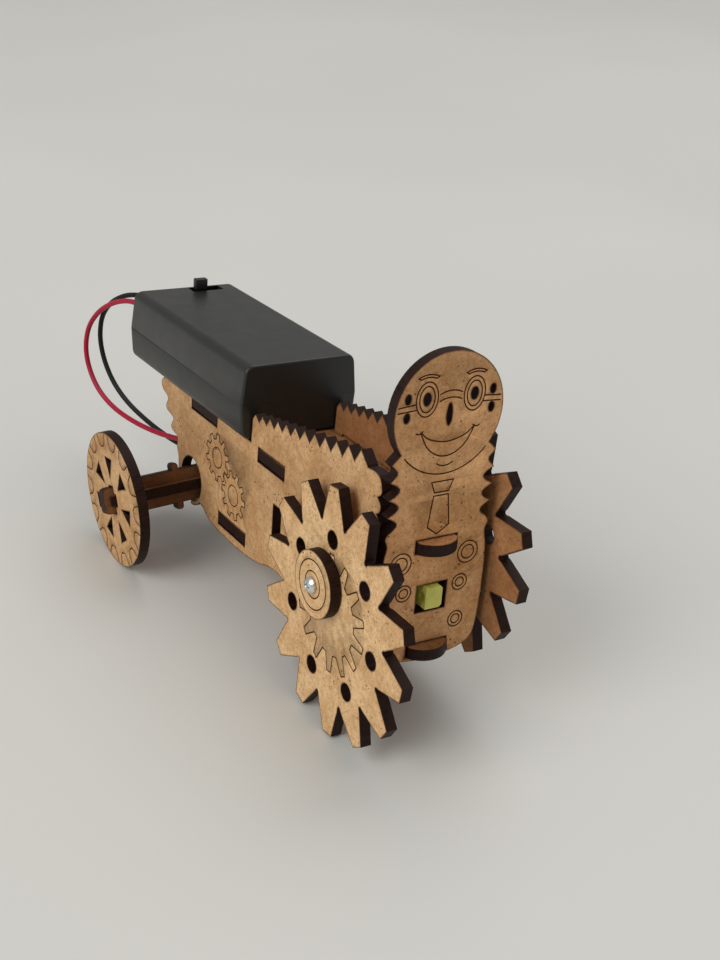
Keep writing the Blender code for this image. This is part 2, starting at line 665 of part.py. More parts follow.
def make_nose(shell):
    """The tab that pokes through the window. It clears the other shell by stopping short of it."""
    profile = [(-2.3, -2.7), (1.6, -2.7), (2.2, -2.1), (2.2, 2.1), (1.6, 2.7), (-2.3, 2.7)]
    front = -1.2
    rear = GEARBOX_Y[0] - GAP
    nose = sheet_mesh("nose", [profile], rear - front)
    tool(shell, "join_nose", nose, (0, (front + rear) / 2, NOSE_Z), FACE_Y, "UNION")
    tool(shell, "cut_nose_hole", rod_mesh("nose_hole", 1.15, 8.0, 16), (0, 0.35, NOSE_Z), ALONG_X)
    root = block_mesh("nose_root", Vector((1.9, 3.4, 5.0)))
    tool(shell, "join_nose_root", root, (-1.35, rear + 1.0, NOSE_Z), operation="UNION")


def make_gearbox_screws():
    mesh = screw_mesh("case_screw", 1.6, 0.9, 0.65, 12.0)
    for index, (y, z) in enumerate(CASE_SCREWS, 1):
        name = f"gearbox_screw_{index}"
        place = (-GEARBOX_HALF_X - 0.1, y, SHAFT.z + z)
        screw = add_piece(name, mesh.copy(), STEEL, CHASSIS, place, (0, -math.pi / 2, 0))
        round_shading(screw)


def flat_sided_circle(radius, flat, steps=10):
    """The motor's cross-section: a circle with two flat sides, in X and Z."""
    limit = math.degrees(math.acos(flat / radius))
    upper = arc((0, 0), radius, limit, 180 - limit, steps)
    return upper + arc((0, 0), radius, 180 + limit, 360 - limit, steps)


def make_motor():
    length = CAN_Y[1] - CAN_Y[0]
    middle = (CAN_Y[0] + CAN_Y[1]) / 2
    can = sheet("motor_can", [flat_sided_circle(CAN_R, CAN_FLAT)], STEEL, CHASSIS, (0, middle, SHAFT.z),
                ALONG_Y, length)
    inside = sheet_mesh("can_inside", [flat_sided_circle(CAN_R - 0.8, CAN_FLAT - 0.7)], length)
    tool(can, "cut_can_inside", inside, (0, middle + 0.8, SHAFT.z), ALONG_Y)
    tool(can, "cut_can_bearing", rod_mesh("can_bearing", 1.3, 6.0, 16), (0, CAN_Y[0], SHAFT.z), ALONG_Y)
    cap = sheet("motor_end_cap", [flat_sided_circle(CAN_R - 0.1, CAN_FLAT - 0.1)], WHITE_PLASTIC, CHASSIS,
                (0, CAN_Y[1] + GAP + 1.1, SHAFT.z), ALONG_Y, 2.2)
    tool(cap, "join_cap_boss", rod_mesh("cap_boss", 3.0, 2.0, 20), (0, 67.8, SHAFT.z), ALONG_Y, "UNION")
    tool(cap, "cut_cap_bearing", rod_mesh("cap_bearing", 1.3, 8.0, 16), (0, 66.0, SHAFT.z), ALONG_Y)
    magnet = arc((0, 0), 9.0, 50, 130, 10) + arc((0, 0), 6.2, 130, 50, 10)
    for name, turn in (("motor_magnet_upper", 0.0), ("motor_magnet_lower", math.pi)):
        sheet(name, [magnet], MAGNET, CHASSIS, (0, 53.0, SHAFT.z), (math.pi / 2, turn, 0), 13.0)
    for name, side in (("motor_terminal_upper", 1), ("motor_terminal_lower", -1)):
        rounded_block(name, (-1.2, 67.4, SHAFT.z + side * 6.6 - 0.3), (1.2, 71.2, SHAFT.z + side * 6.6 + 0.3),
                      BRASS, CHASSIS)


def make_motor_strap():
    """A clear band hooked on the gearbox sides that wraps round the back of the motor."""
    outer = GEARBOX_HALF_X + 1.1
    inner = GEARBOX_HALF_X + 0.3
    rear = 70.0
    half = [(0, rear), (6.5, rear), (outer - 0.9, rear - 1.6), (outer, rear - 4.0), (outer, 36.5),
            (inner, 36.5), (inner, rear - 4.4), (outer - 1.7, rear - 2.2), (6.0, rear - 0.8),
            (0, rear - 0.8)]
    loop = half + [(-x, y) for x, y in reversed(half[1:-1])]
    strap = sheet("motor_strap", [loop], CLEAR_PLASTIC, CHASSIS, (0, 0, SHAFT.z), thickness=5.0)
    tool(strap, "cut_strap_hole", rod_mesh("strap_hole", 1.9, 6.0, 20), (0, rear, SHAFT.z), ALONG_Y)


# ---------------------------------------------------------------- rear axle

WHEEL_SHOULDER = REAR_WHEEL_X - SHEET / 2 - GAP
SLIT = SHEET / 2 + GAP                # half the width of the slits where the strips interlock


def upright_strip_outline():
    """The strip on edge. It is slit from its +X end and has stop lugs outside the side plates."""
    low, high = LUG_X
    lug = [(low, STRIP_HALF), (low, LUG_TOP - 0.6), (low + 0.5, LUG_TOP), (high - 0.5, LUG_TOP),
           (high, LUG_TOP - 0.6), (high, STRIP_HALF)]
    end = [(STUB_END - 1.2, STUB_HALF), (STUB_END - 0.35, STUB_HALF - 0.35), (STUB_END, STUB_HALF - 1.2)]
    right = lug + [(WHEEL_SHOULDER, STRIP_HALF), (WHEEL_SHOULDER, STUB_HALF)] + end
    upper = [(-x, z) for x, z in reversed(right)] + right
    lower = [(x, -z) for x, z in reversed(upper)]
    return upper + [(STUB_END, SLIT), (-0.2, SLIT), (-0.2, -SLIT), (STUB_END, -SLIT)] + lower


def level_strip_outline():
    """The strip that lies flat. It is slit from its -X end, and its tongues pass through the wheels."""
    right = [(WHEEL_SHOULDER, STRIP_HALF), (WHEEL_SHOULDER, TONGUE_HALF), (TONGUE_END, TONGUE_HALF)]
    upper = [(x, y) for x, y in reversed(right)] + [(-x, y) for x, y in right]
    lower = [(x, -y) for x, y in reversed(upper)]
    return upper + [(-TONGUE_END, SLIT), (0.2, SLIT), (0.2, -SLIT), (-TONGUE_END, -SLIT)] + lower


def cross_hole():
    """The hole that both strips pass through, with a clearance all round."""
    core = SHEET / 2 + GAP
    tall = STUB_HALF + GAP
    wide = TONGUE_HALF + GAP
    corner = [(wide, core), (core, core), (core, tall)]
    half = corner + [(-u, v) for u, v in reversed(corner)]
    return half + [(-u, -v) for u, v in half]


def rear_wheel_loops():
    loops = [circle((0, 0), REAR_WHEEL_R, 56), cross_hole()]
    for window in range(REAR_WINDOWS):
        middle = REAR_WINDOW_ANGLE + window * 2 * math.pi / REAR_WINDOWS
        corners = ((6.2, 0.0), (12.0, -0.195), (12.0, 0.195))
        loops.append([(radius * math.cos(middle + turn), radius * math.sin(middle + turn))
                      for radius, turn in corners])
    return loops


def make_rear_axle():
    place = (AXLE_SLIDE, 0, 0)
    sheet("rear_axle_upright_strip", [upright_strip_outline()], FIBREBOARD, REAR_AXLE, place, FACE_Y)
    sheet("rear_axle_level_strip", [level_strip_outline()], FIBREBOARD, REAR_AXLE, place)
    mesh = sheet_mesh("rear_wheel", rear_wheel_loops())
    for name, side in (("rear_wheel_right", -1), ("rear_wheel_left", 1)):
        add_piece(name, mesh, FIBREBOARD, REAR_AXLE, (AXLE_SLIDE + side * REAR_WHEEL_X, 0, 0), FACE_X)


# ---------------------------------------------------------------- battery box

def box_profile():
    """The box from the front: round long edges, and sides that lean out to the parting line."""
    top = arc((BOX_HALF - 2.5, BOX_TOP - 2.5), 2.5, 90, 6, 6)
    base = arc((BOX_BASE - 3.0, GAP + 3.0), 3.0, -4, -90, 6)
    half = top + [(BOX_WAIST, BOX_SPLIT)] + base
    return half + [(-x, z) for x, z in reversed(half)]


def box_shell(name):
    """The whole outside of the box with its cavity, before it is cut at the parting line."""
    middle = Vector((0, (BOX_FRONT + BOX_REAR) / 2, 0))
    mesh = sheet_mesh(name, [box_profile()], BOX_REAR - BOX_FRONT)
    work = bmesh.new()
    work.from_mesh(mesh)
    bmesh.ops.dissolve_limit(work, angle_limit=math.radians(0.5), verts=work.verts, edges=work.edges)
    work.to_mesh(mesh)
    work.free()
    piece = add_piece(name, mesh, BLACK_PLASTIC, CHASSIS, middle, FACE_Y)
    bevel = add_bevel(piece, 0.7, 2)
    bevel.angle_limit = math.radians(60)
    inside = BOX_HALF - BOX_WALL
    cut_block(piece, f"cut_cavity_{name}", (-inside, BOX_FRONT + BOX_WALL, GAP + BOX_WALL),
              (inside, BOX_REAR - BOX_WALL, BOX_TOP - BOX_WALL))
    return piece


def make_battery_box():
    outside = BOX_HALF + 2
    tray = box_shell("battery_box_tray")
    cut_block(tray, "cut_tray_split", (-outside, BOX_FRONT - 2, -2),
              (outside, BOX_REAR + 2, BOX_SPLIT + GAP / 2))
    cut_block(tray, "cut_switch_slot", (SLOT[0], SLOT[2], BOX_TOP - 3), (SLOT[1], SLOT[3], BOX_TOP + 1))
    for index, (x, z) in enumerate(LEAD_EXITS):
        tool(tray, f"cut_lead_hole_{index}", rod_mesh("lead_hole", LEAD_R + 0.3, 6.0, 12),
             (x, BOX_REAR, z), ALONG_Y)
    cover = box_shell("battery_box_cover")
    cut_block(cover, "cut_cover_split", (-outside, BOX_FRONT - 2, BOX_SPLIT - GAP / 2),
              (outside, BOX_REAR + 2, BOX_TOP + 2))
    tool(cover, "cut_screw_seat", rod_mesh("screw_seat", 1.3, 8.0, 16), COVER_SCREW, (0, 0, 0))
    screw = add_piece("cover_screw", screw_mesh("cover_screw", 2.2, 1.2, 1.0, 5.0), STEEL, CHASSIS,
                      (COVER_SCREW[0], COVER_SCREW[1], -0.05), (math.pi, 0, 0))
    round_shading(screw)


def coil_points(centre, radius, height, turns, steps):
    """A helix along Y that starts and ends flat."""
    points = []
    for step in range(turns * steps + 1):
        angle = 2 * math.pi * step / steps
        rise = height * step / (turns * steps)
        across = radius * math.cos(angle)
        up = radius * math.sin(angle)
        points.append((centre[0] + across, centre[1] + rise, centre[2] + up))
    return points


def make_cells():
    """Two cells side by side, head to tail, between a link plate in front and two plates behind."""
    z = GAP + BOX_WALL + GAP + CELL_R
    rear = CELL_FRONT + CELL_LENGTH
    for name, side, direction in (("battery_cell_right", -1, 1), ("battery_cell_left", 1, -1)):
        middle = CELL_FRONT + CELL_LENGTH / 2
        cell = add_piece(name, rod_mesh(name, CELL_R, CELL_LENGTH, 32), CELL_WRAP, CHASSIS,
                         (side * CELL_X, middle, z), ALONG_Y)
        tip_end = (side * CELL_X, middle + direction * CELL_LENGTH / 2, z)
        tool(cell, f"join_tip_{name}", rod_mesh("cell_tip", 2.7, 2.0, 20), tip_end, ALONG_Y, "UNION")
        round_shading(cell)
    rounded_block("contact_link_plate", (-12.6, 66.4, z - 5), (12.6, 66.9, z + 5), STEEL, CHASSIS)
    for name, side in (("contact_plate_right", -1), ("contact_plate_left", 1)):
        rounded_block(name, (side * CELL_X - 5.4, 123.4, z - 5), (side * CELL_X + 5.4, 123.9, z + 5),
                      STEEL, CHASSIS)
    springs = (("contact_spring_front", -1, 67.7, 2.2), ("contact_spring_rear", 1, rear + 0.8, 2.0))
    for name, side, start, height in springs:
        points = coil_points((side * CELL_X, start, z), 3.6, height, 3, 9)
        spring = add_piece(name, tube_mesh(name, points, 0.3), STEEL, CHASSIS)
        round_shading(spring, 60)


def make_switch():
    """A slide switch under the slot in the top of the box."""
    low = (SLOT[0] - 1.6, SLOT[2] - 0.6, 11.4)
    high = (SLOT[1] + 1.6, SLOT[3] + 0.0, BOX_TOP - BOX_WALL - GAP)
    body = rounded_block("switch_body", low, high, BLACK_PLASTIC, CHASSIS)
    cut_block(body, "cut_switch_well", (SLOT[0] - 0.4, SLOT[2] + 0.1, 14.6),
              (SLOT[1] + 0.4, SLOT[3] - 0.8, 20.0))
    slider = make_frame("switch_slider_frame", (SLOT[0] + 2.65, SLOT[2] + 1.2, BOX_TOP), parent=CHASSIS)
    knob = rounded_block("switch_slider", (-1.85, -1.05, 0.2), (1.85, 1.05, 3.4), BLACK_PLASTIC, slider, 0.25, 2)
    stem = block_mesh("slider_stem", Vector((3.3, 1.7, 5.6)))
    tool(knob, "join_slider_stem", stem, (0, 0, -2.0), operation="UNION")


# ---------------------------------------------------------------- leads

RED_ROUTE = [(-13.0, 135.7, 15.4), (-13.2, 138.6, 15.3), (-14.3, 143.9, 14.7), (-15.8, 150.8, 12.3),
             (-17.5, 157.0, 8.3), (-18.9, 161.4, 3.1), (-19.5, 163.3, -2.4), (-19.6, 162.8, -7.7),
             (-19.1, 160.0, -12.9), (-18.0, 155.4, -17.2), (-16.1, 148.9, -20.3), (-13.6, 140.9, -21.9),
             (-10.8, 132.0, -22.3), (-8.2, 123.5, -21.6), (-6.2, 115.0, -19.8), (-4.7, 106.0, -17.2),
             (-3.4, 97.0, -14.2), (-2.3, 88.0, -10.9), (-1.0, 80.0, -8.1), (-0.2, 74.5, -7.6),
             (0.0, 72.0, -8.6)]
BLACK_ROUTE = [(-10.2, 135.7, 17.0), (-10.4, 138.6, 17.0), (-11.4, 143.4, 16.4), (-12.9, 149.4, 14.6),
               (-14.4, 155.6, 11.0), (-15.5, 159.8, 6.0), (-15.8, 161.3, 0.4), (-15.5, 161.0, -4.8),
               (-14.8, 158.8, -10.0), (-13.5, 155.0, -15.0), (-11.6, 149.6, -19.1), (-9.4, 142.6, -22.0),
               (-7.0, 134.0, -24.1), (-4.8, 125.0, -24.9), (-2.8, 116.5, -23.4), (-1.0, 108.2, -19.6),
               (0.3, 99.5, -15.6), (0.8, 90.0, -15.9), (0.6, 82.0, -18.8), (0.2, 76.0, -21.8),
               (0.0, 72.0, -23.2)]


def make_leads():
    for name, route, material in (("lead_red", RED_ROUTE, RED_PVC), ("lead_black", BLACK_ROUTE, BLACK_PVC)):
        lead = add_piece(name, tube_mesh(name, smooth(route, 2), LEAD_R), material, CHASSIS)
        round_shading(lead, 60)


make_side_plates()
make_front_plate()
make_level_plates()
make_toothed_wheels()
make_hub_discs()
make_hub_screws()
make_output_shaft()
make_second_gear()
make_crown_gear()
make_gear_pins()
make_rotor()
make_gearbox()
make_gearbox_screws()
make_motor()
make_motor_strap()
make_rear_axle()
make_battery_box()
make_cells()
make_switch()
make_leads()
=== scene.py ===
"""The four wheel robot chassis: laser-cut fibreboard, a black battery box and two leads.

Every piece is placed in the row frame, in metres. Shapes are written in millimetres in the chassis
frame, whose X is across the chassis, whose front faces -Y and whose z = 0 carries the battery box.
"""
import math

import bmesh
import bpy
from mathutils import Matrix, Vector


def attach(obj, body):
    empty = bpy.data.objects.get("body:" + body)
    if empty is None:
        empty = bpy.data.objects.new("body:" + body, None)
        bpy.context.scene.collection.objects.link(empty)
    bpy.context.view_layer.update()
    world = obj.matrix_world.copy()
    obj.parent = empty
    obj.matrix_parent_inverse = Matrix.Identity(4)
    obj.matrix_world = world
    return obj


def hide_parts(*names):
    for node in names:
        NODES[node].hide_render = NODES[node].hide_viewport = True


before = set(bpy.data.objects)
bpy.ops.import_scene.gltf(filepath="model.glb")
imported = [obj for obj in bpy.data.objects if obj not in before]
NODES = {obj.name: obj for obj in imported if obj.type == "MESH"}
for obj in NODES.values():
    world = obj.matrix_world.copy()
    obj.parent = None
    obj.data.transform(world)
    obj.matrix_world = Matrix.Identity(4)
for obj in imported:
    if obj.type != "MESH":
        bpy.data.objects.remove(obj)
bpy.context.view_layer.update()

MM = 0.001

# the chassis frame as it stands on the floor
PITCH = math.radians(-6.1516)
ROLL = math.radians(3.7)
STAND = Vector((3.062, -57.704, 53.318)) * MM

# the laser-cut sheets: an X or Y is the middle of the sheet's thickness
SHEET = 2.8
PLATE_X = 12.3
FRONT_Y = 1.5
DECK_TOP = -1.15               # the level plates' upper faces, at y = 0
PAN_TOP = -27.75
FLOOR_SLOPE = math.radians(0.75)    # how much the level plates rise toward the rear
BOARD_JOIN = 0.004             # vertices of a sheet that are closer than this become one
FACE_NORMAL = 0.9              # least part of a face's normal across the sheet, on its flat sides
CUT_SMOOTH = math.radians(28)  # a cut edge is shaded smooth up to this angle

# the motor's shaft and the toothed wheels, which sit off-centre on it
SHAFT = Vector((0.0, 15.95, -15.85))
WHEEL_X = 17.6
WHEEL_OFFSET = 7.43
WHEEL_ANGLE = math.radians(-119.8)
HUB_X = 20.7

# the battery box and its parting line
BOX_FRONT = 64.7
BOX_REAR = 135.3
BOX_SPLIT = 9.7
GAP_REACH = 0.2                # the parting line's edges lie this close to its height
GAP_CLOSING = 0.9              # share of the gap that is closed at the box's front
SHAPE_JOIN = 0.003             # vertices of a smoothed piece that are closer than this become one

# the rear axle, which lies turned, tilted and slid sideways in its eyes
AXLE_LINE = Vector((0.0, 98.7, -24.2))
AXLE_TURN = math.radians(-17.0)
AXLE_SLIDE = -1.5
REAR_WHEEL_X = 34.2
REAR_WHEEL_R = 18.75

# laser marks
LINE = 0.17                    # half width of an engraved line
LINE_DEPTH = 0.22
LINE_CLEAR = 0.6               # how far the line cutter stands out of the sheet
LINE_MITRE = 0.35              # limits how far a sharp corner of a line reaches
RIM = 0.42                     # width of the scorched band beside a cut
RIM_MITRE = 0.3                # limits how far the band reaches at a sharp corner

LEAD_RADIUS = 0.75
LEAD_STEPS = 4                 # curve points for each point of a lead's route

CHASSIS = (Matrix.Translation(STAND) @ Matrix.Rotation(PITCH, 4, "X") @ Matrix.Rotation(ROLL, 4, "Y")
           @ Matrix.Scale(MM, 4))
FACE_X = Matrix.Rotation(math.pi / 2, 4, "Z") @ Matrix.Rotation(math.pi / 2, 4, "X")
FACE_Y = Matrix.Rotation(math.pi / 2, 4, "X")
AXLE = CHASSIS @ Matrix.Translation(SHAFT)
REAR = (CHASSIS @ Matrix.Translation(AXLE_LINE) @ Matrix.Rotation(-ROLL, 4, "Y")
        @ Matrix.Rotation(AXLE_TURN, 4, "X") @ Matrix.Translation((AXLE_SLIDE, 0, 0)))


# ---------------------------------------------------------------- camera

def make_camera():
    """A camera at the picture's viewing angle, placed in the chassis frame."""
    azimuth = math.radians(-33.04)
    elevation = math.radians(23.02)
    lean = math.radians(4.52)
    back = Vector((math.sin(azimuth) * math.cos(elevation), -math.cos(azimuth) * math.cos(elevation),
                   math.sin(elevation)))
    level = Vector((math.cos(azimuth), math.sin(azimuth), 0.0))
    rise = back.cross(level)
    right = level * math.cos(lean) + rise * math.sin(lean)
    up = rise * math.cos(lean) - level * math.sin(lean)
    shift_across = -18.22
    shift_up = 10.66
    distance = 314.37
    place = level * shift_across + rise * shift_up + back * distance
    local = Matrix.Translation(place) @ Matrix((right, up, back)).transposed().to_4x4()
    data = bpy.data.cameras.new("camera")
    data.lens = 52.69
    data.sensor_width = 36.0
    data.clip_start = 0.01
    camera = bpy.data.objects.new("camera", data)
    bpy.context.scene.collection.objects.link(camera)
    camera.matrix_world = CHASSIS @ local @ Matrix.Scale(1 / MM, 4)
    bpy.context.scene.camera = camera


make_camera()


# ---------------------------------------------------------------- shapes

def arc(centre, radius, start, end, steps):
    """Points on an arc, both ends included. Angles are in degrees."""
    points = []
    for step in range(steps + 1):
        angle = math.radians(start + (end - start) * step / steps)
        points.append((centre[0] + radius * math.cos(angle), centre[1] + radius * math.sin(angle)))
    return points


def circle(centre, radius, steps):
    return arc(centre, radius, 0, 360, steps)[:-1]


def oval(centre, half_width, half_height, steps):
    unit = circle((0, 0), 1, steps)
    return [(centre[0] + half_width * across, centre[1] + half_height * up) for across, up in unit]


def smooth(points, steps):
    """A Catmull-Rom curve through an open run of points, both ends included."""
    padded = [points[0], *points, points[-1]]
    result = []
    for index in range(1, len(padded) - 2):
        before, start, end, after = (Vector(point) for point in padded[index - 1:index + 3])
        for step in range(steps):
            t = step / steps
            curve = (2 * start + (end - before) * t + (2 * before - 5 * start + 4 * end - after) * t ** 2
                     + (3 * start - before - 3 * end + after) * t ** 3)
            result.append(tuple(curve / 2))
    result.append(tuple(points[-1]))
    return result


def gear_outline(centre, teeth, root, tip, phase, root_share, tip_share):
    """A gear with straight-sided teeth. The shares are half tooth widths as parts of the pitch."""
    pitch = 2 * math.pi / teeth
    points = []
    for tooth in range(teeth):
        middle = phase + tooth * pitch
        for radius, share in ((root, -root_share), (tip, -tip_share), (tip, tip_share), (root, root_share)):
            angle = middle + share * pitch
            points.append((centre[0] + radius * math.cos(angle), centre[1] + radius * math.sin(angle)))
    return points


# ---------------------------------------------------------------- leads

RED_ROUTE = [(-13.0, 135.7, 15.4), (-13.2, 138.6, 15.3), (-14.3, 143.9, 14.7), (-15.8, 150.8, 12.3),
             (-17.5, 157.0, 8.3), (-18.9, 161.4, 3.1), (-19.5, 163.3, -2.4), (-19.6, 162.8, -7.7),
             (-19.1, 160.0, -12.9), (-18.0, 155.4, -17.2), (-16.1, 148.9, -20.3), (-13.6, 140.9, -21.9),
             (-10.8, 132.0, -22.3), (-8.2, 123.5, -21.6), (-6.2, 115.0, -19.8), (-4.7, 106.0, -17.2),
             (-3.4, 97.0, -14.2), (-2.3, 88.0, -10.9), (-1.0, 80.0, -8.1), (-0.2, 74.5, -7.6),
             (0.0, 72.0, -8.6)]
BLACK_ROUTE = [(-10.2, 135.7, 17.0), (-10.4, 138.6, 17.0), (-11.4, 143.4, 16.4), (-12.9, 149.4, 14.6),
               (-14.4, 155.6, 11.0), (-15.5, 159.8, 6.0), (-15.8, 161.3, 0.4), (-15.5, 161.0, -4.8),
               (-14.8, 158.8, -10.0), (-13.5, 155.0, -15.0), (-11.6, 149.6, -19.1), (-9.4, 142.6, -22.0),
               (-7.0, 134.0, -24.1), (-4.8, 125.0, -24.9), (-2.8, 116.5, -23.4), (-1.0, 108.2, -19.6),
               (0.3, 99.5, -15.6), (0.8, 90.0, -15.9), (0.6, 82.0, -18.8), (0.2, 76.0, -21.8),
               (0.0, 72.0, -23.2)]


def make_lead(node, route, material):
    """A lead as one round curve along its route, from the box to its motor terminal."""
    points = [CHASSIS @ Vector(point) for point in smooth(route, LEAD_STEPS)]
    curve = bpy.data.curves.new(f"{node}_wire", "CURVE")
    curve.dimensions = "3D"
    curve.bevel_depth = LEAD_RADIUS * MM
    curve.bevel_resolution = 6
    curve.use_fill_caps = True
    spline = curve.splines.new("POLY")
    spline.points.add(len(points) - 1)
    for point, place in zip(spline.points, points):
        point.co = (*place, 1)
    curve.materials.append(material)
    wire = bpy.data.objects.new(f"{node}_wire", curve)
    bpy.context.scene.collection.objects.link(wire)
    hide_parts(node)
    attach(wire, "chassis")


# ---------------------------------------------------------------- materials

class Net:
    """A material and short calls for its nodes. Textures are laid out in millimetres."""

    def __init__(self, name):
        self.material = bpy.data.materials.new(name)
        self.material.use_nodes = True
        self.tree = self.material.node_tree
        self.shader = self.tree.nodes["Principled BSDF"]
        self.coords = self.add("ShaderNodeTexCoord").outputs["Object"]

    def add(self, kind, **settings):
        """A new node with some of its properties set."""
        node = self.tree.nodes.new(kind)
        for name, value in settings.items():
            setattr(node, name, value)
        return node

    def put(self, value, socket):
        """Links a socket, or sets a plain value."""
        if isinstance(value, bpy.types.NodeSocket):
            self.tree.links.new(value, socket)
        elif isinstance(value, tuple) and len(value) == 3 and socket.type == "RGBA":
            socket.default_value = (*value, 1.0)
        else:
            socket.default_value = value

    def stretched(self, scale):
        """Coordinates on the piece, scaled to a number of texture cells a millimetre along each axis."""
        node = self.add("ShaderNodeMapping")
        self.put(self.coords, node.inputs["Vector"])
        self.put(tuple(part / MM for part in scale), node.inputs["Scale"])
        return node.outputs["Vector"]

    def noise(self, scale, detail=2.0, distortion=0.0, roughness=0.5):
        """A soft random pattern. The scale is in cells a millimetre, one for all axes or one for each."""
        scales = scale if isinstance(scale, tuple) else (scale, scale, scale)
        node = self.add("ShaderNodeTexNoise")
        self.put(self.stretched(scales), node.inputs["Vector"])
        self.put(1.0, node.inputs["Scale"])
        self.put(detail, node.inputs["Detail"])
        self.put(distortion, node.inputs["Distortion"])
        self.put(roughness, node.inputs["Roughness"])
        return node.outputs["Fac"]

    def cells(self, scale):
        """Distance to the nearest of some scattered points, and a random number for each point."""
        node = self.add("ShaderNodeTexVoronoi")
        self.put(self.stretched((scale, scale, scale)), node.inputs["Vector"])
        self.put(1.0, node.inputs["Scale"])
        split = self.add("ShaderNodeSeparateColor")
        self.put(node.outputs["Color"], split.inputs["Color"])
        return node.outputs["Distance"], split.outputs["Red"]

    def math(self, operation, first, second=0.0, clamp=False):
        node = self.add("ShaderNodeMath", operation=operation, use_clamp=clamp)
        self.put(first, node.inputs[0])
        self.put(second, node.inputs[1])
        return node.outputs["Value"]

    def ramp(self, value, low, high, start=0.0, end=1.0):
        """Maps low..high to start..end, held at the ends."""
        node = self.add("ShaderNodeMapRange", interpolation_type="SMOOTHSTEP")
        self.put(value, node.inputs["Value"])
        for name, number in (("From Min", low), ("From Max", high), ("To Min", start), ("To Max", end)):
            self.put(number, node.inputs[name])
        return node.outputs["Result"]

    def mix(self, factor, first, second):
        """Blends two colours. A mix node's colour sockets are told apart only by their numbers."""
        node = self.add("ShaderNodeMix", data_type="RGBA")
        self.put(factor, node.inputs["Factor"])
        self.put(first, node.inputs[6])
        self.put(second, node.inputs[7])
        return node.outputs[2]

    def scorch(self):
        """How burnt a board is at a point: 1 at a cut and 0 away from it."""
        node = self.add("ShaderNodeAttribute", attribute_name="scorch")
        return node.outputs["Fac"]

    def bump(self, height, distance, strength):
        """Raises the surface by a pattern, whose full height is the distance in millimetres."""
        node = self.add("ShaderNodeBump")
        self.put(height, node.inputs["Height"])
        self.put(distance * MM, node.inputs["Distance"])
        self.put(strength, node.inputs["Strength"])
        self.put(node.outputs["Normal"], self.shader.inputs["Normal"])

    def finish(self, colour, roughness, metallic=0.0, **sockets):
        """Sets the shader's main inputs, and any others by name with _ for a space."""
        self.put(colour, self.shader.inputs["Base Color"])
        self.put(roughness, self.shader.inputs["Roughness"])
        self.put(metallic, self.shader.inputs["Metallic"])
        for name, value in sockets.items():
            self.put(value, self.shader.inputs[name.replace("_", " ")])
        return self.material


def add_clumps(net, colour, grain, shade, pale):
    """Darker and paler patches of packed fibre over a base colour."""
    clump = net.noise(0.80, 3.0, 0.5, 0.6)
    colour = net.mix(net.ramp(clump, 0.44, 0.68, 0.0, 0.34), colour, shade)
    colour = net.mix(net.ramp(clump, 0.50, 0.30, 0.0, 0.25), colour, pale)
    return net.mix(net.ramp(grain, 0.42, 0.66, 0.0, 0.32), colour, shade)


def add_fibres(net, colour, brown, pale):
    """Thin curling threads, where a noise crosses its middle value."""
    for scale, fibre_colour, share in ((0.55, brown, 0.70), (0.95, brown, 0.60), (0.75, pale, 0.55)):
        thread = net.math("ABSOLUTE", net.math("SUBTRACT", net.noise(scale, 2.0, 1.6), 0.5))
        where = net.ramp(net.noise(scale * 0.85, 1.0), 0.50, 0.57)
        fibre = net.math("MULTIPLY", net.ramp(thread, 0.004, 0.020, 1.0, 0.0), where)
        colour = net.mix(net.math("MULTIPLY", fibre, share), colour, fibre_colour)
    return colour


def bark_specks(net):
    """Dark specks of many sizes, in drifts: 1 inside a speck."""
    distance, chance = net.cells(0.72)
    reach = net.ramp(chance, 0.30, 1.0, 0.02, 0.24)
    speck = net.ramp(net.math("SUBTRACT", reach, distance), 0.0, 0.05)
    return net.math("MULTIPLY", speck, net.ramp(net.noise(0.30, 2.0), 0.42, 0.60, 0.35, 1.0))


def fibreboard_face(name, dark, light, smoke_and_shade=0.0):
    """Pressed wood fibre: mottled, with fibres and specks, browner beside a cut, and in smoked patches,
    partly painted shade.
    """
    net = Net(name)
    mottle = net.noise(0.10, 3.0, 0.6)
    grain = net.noise(2.2, 3.0, 0.4, 0.65)
    shade = (0.66 * dark[0], 0.56 * dark[1], 0.46 * dark[2])
    pale = tuple(1.22 * part for part in light)
    brown = (0.30 * dark[0], 0.24 * dark[1], 0.20 * dark[2])
    bark = (0.17 * dark[0], 0.12 * dark[1], 0.10 * dark[2])
    colour = net.mix(net.ramp(mottle, 0.34, 0.66), dark, light)
    colour = add_clumps(net, colour, grain, shade, pale)
    colour = add_fibres(net, colour, brown, pale)
    speck = bark_specks(net)
    colour = net.mix(speck, colour, bark)
    # Random smoked patches; the darker board copies take a larger share of them as part of their painted
    # shade.
    if smoke_and_shade:
        smoked_shade_patches = net.ramp(net.noise(0.045, 2.0, 0.4), 0.38, 0.62, 0.0, smoke_and_shade)
        colour = net.mix(smoked_shade_patches, colour, SMOKE_AND_SHADE)
    halo = net.math("MULTIPLY", net.scorch(), net.ramp(net.noise(0.5, 2.0), 0.3, 0.7, 0.8, 1.15), True)
    colour = net.mix(halo, colour, CHAR)
    net.bump(net.math("ADD", grain, net.math("MULTIPLY", speck, -0.7)), 0.05, 0.5)
    return net.finish(colour, net.ramp(grain, 0.3, 0.7, 0.55, 0.70), Specular_IOR_Level=0.22)


def burnt_edge(name, stretch):
    """The laser's cut face: almost black brown, with fine streaks across the sheet."""
    net = Net(name)
    streaks = net.noise(tuple(2.6 / part for part in stretch), 3.0)
    cloud = net.noise(0.4, 2.0)
    colour = net.mix(net.ramp(streaks, 0.32, 0.72), SOOT, BURNT_WOOD)
    colour = net.mix(net.ramp(cloud, 0.35, 0.7, 0.0, 0.45), colour, ASH)
    net.bump(streaks, 0.04, 0.5)
    return net.finish(colour, net.ramp(streaks, 0.3, 0.7, 0.45, 0.66), Specular_IOR_Level=0.15)


